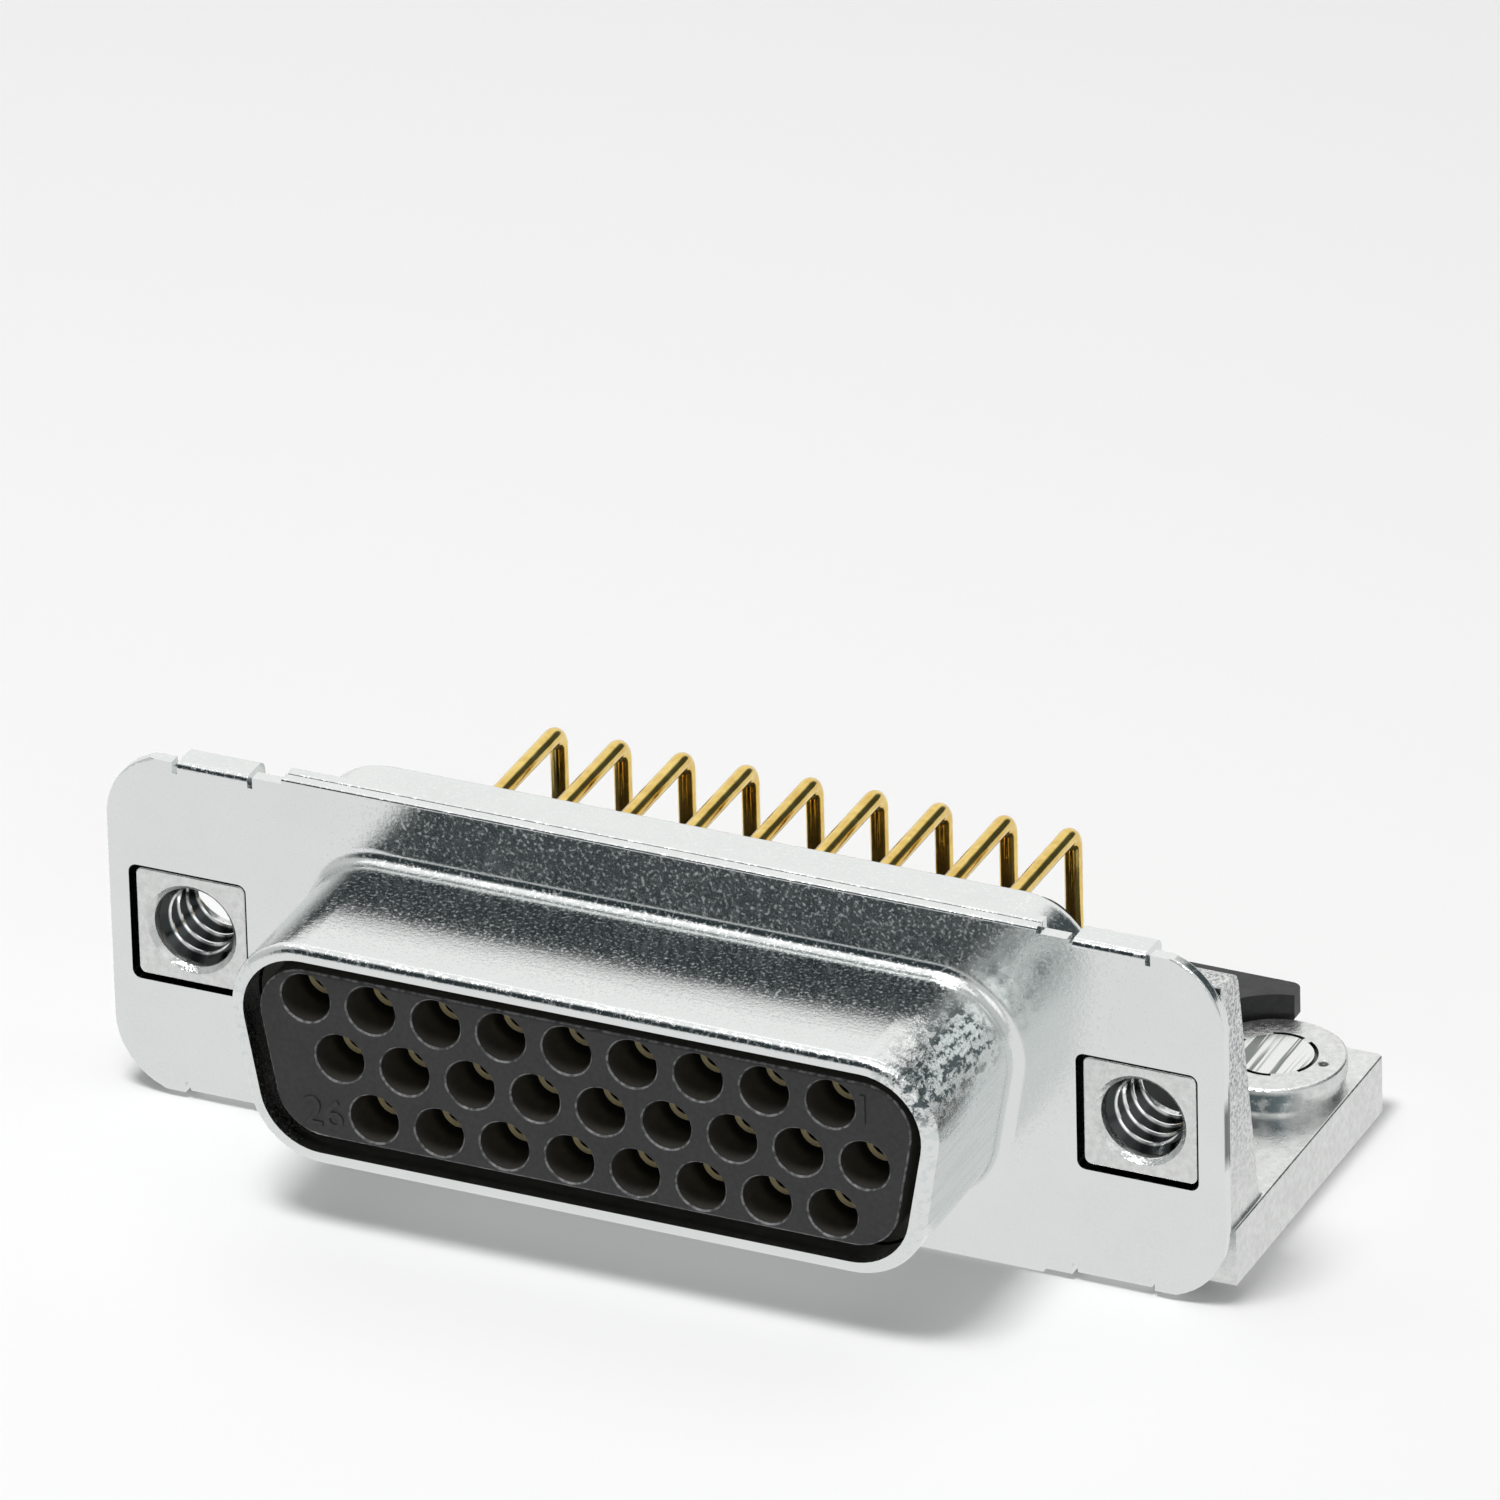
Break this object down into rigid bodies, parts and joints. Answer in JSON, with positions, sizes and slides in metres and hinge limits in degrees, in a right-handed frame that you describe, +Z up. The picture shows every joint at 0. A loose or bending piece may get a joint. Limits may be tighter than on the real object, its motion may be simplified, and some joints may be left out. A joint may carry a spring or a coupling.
{
  "type": "right-angle d-sub socket connector",
  "caption": "Right-angle board-mounted d-sub socket: plated D-shaped shell, gold contacts in staggered rows, threaded jackscrew brackets with snap-in board locks.",
  "frame": {"origin": "on the board's surface, midway between the two board locks", "axes": "+X along the rows of contacts, towards contact 1; +Y away from the mating face, towards the tails; +Z up from the board"},
  "size_m": [0.0392, 0.0204, 0.0165],
  "materials": {
    "shell_plating": "bright plated",
    "insulator_plastic": "moulded",
    "organiser_plastic": "moulded",
    "contact_gold": "gold plated",
    "bracket_metal": "cast, plated",
    "lock_metal": "plated"
  },
  "bodies": {
    "root": {"board_lock_left": "lock_metal", "board_lock_right": "lock_metal", "bracket_left": "bracket_metal", "bracket_right": "bracket_metal", "contact_01": "contact_gold", "contact_02": "contact_gold", "contact_03": "contact_gold", "contact_04": "contact_gold", "contact_05": "contact_gold", "contact_06": "contact_gold", "contact_07": "contact_gold", "contact_08": "contact_gold", "contact_09": "contact_gold", "contact_10": "contact_gold", "contact_11": "contact_gold", "contact_12": "contact_gold", "contact_13": "contact_gold", "contact_14": "contact_gold", "contact_15": "contact_gold", "contact_16": "contact_gold", "contact_17": "contact_gold", "contact_18": "contact_gold", "contact_19": "contact_gold", "contact_20": "contact_gold", "contact_21": "contact_gold", "contact_22": "contact_gold", "contact_23": "contact_gold", "contact_24": "contact_gold", "contact_25": "contact_gold", "contact_26": "contact_gold", "front_insulator": "insulator_plastic", "front_shell": "shell_plating", "pin_organiser": "organiser_plastic", "rear_insulator": "insulator_plastic", "rear_shell": "shell_plating"}
  },
  "joints": []
}
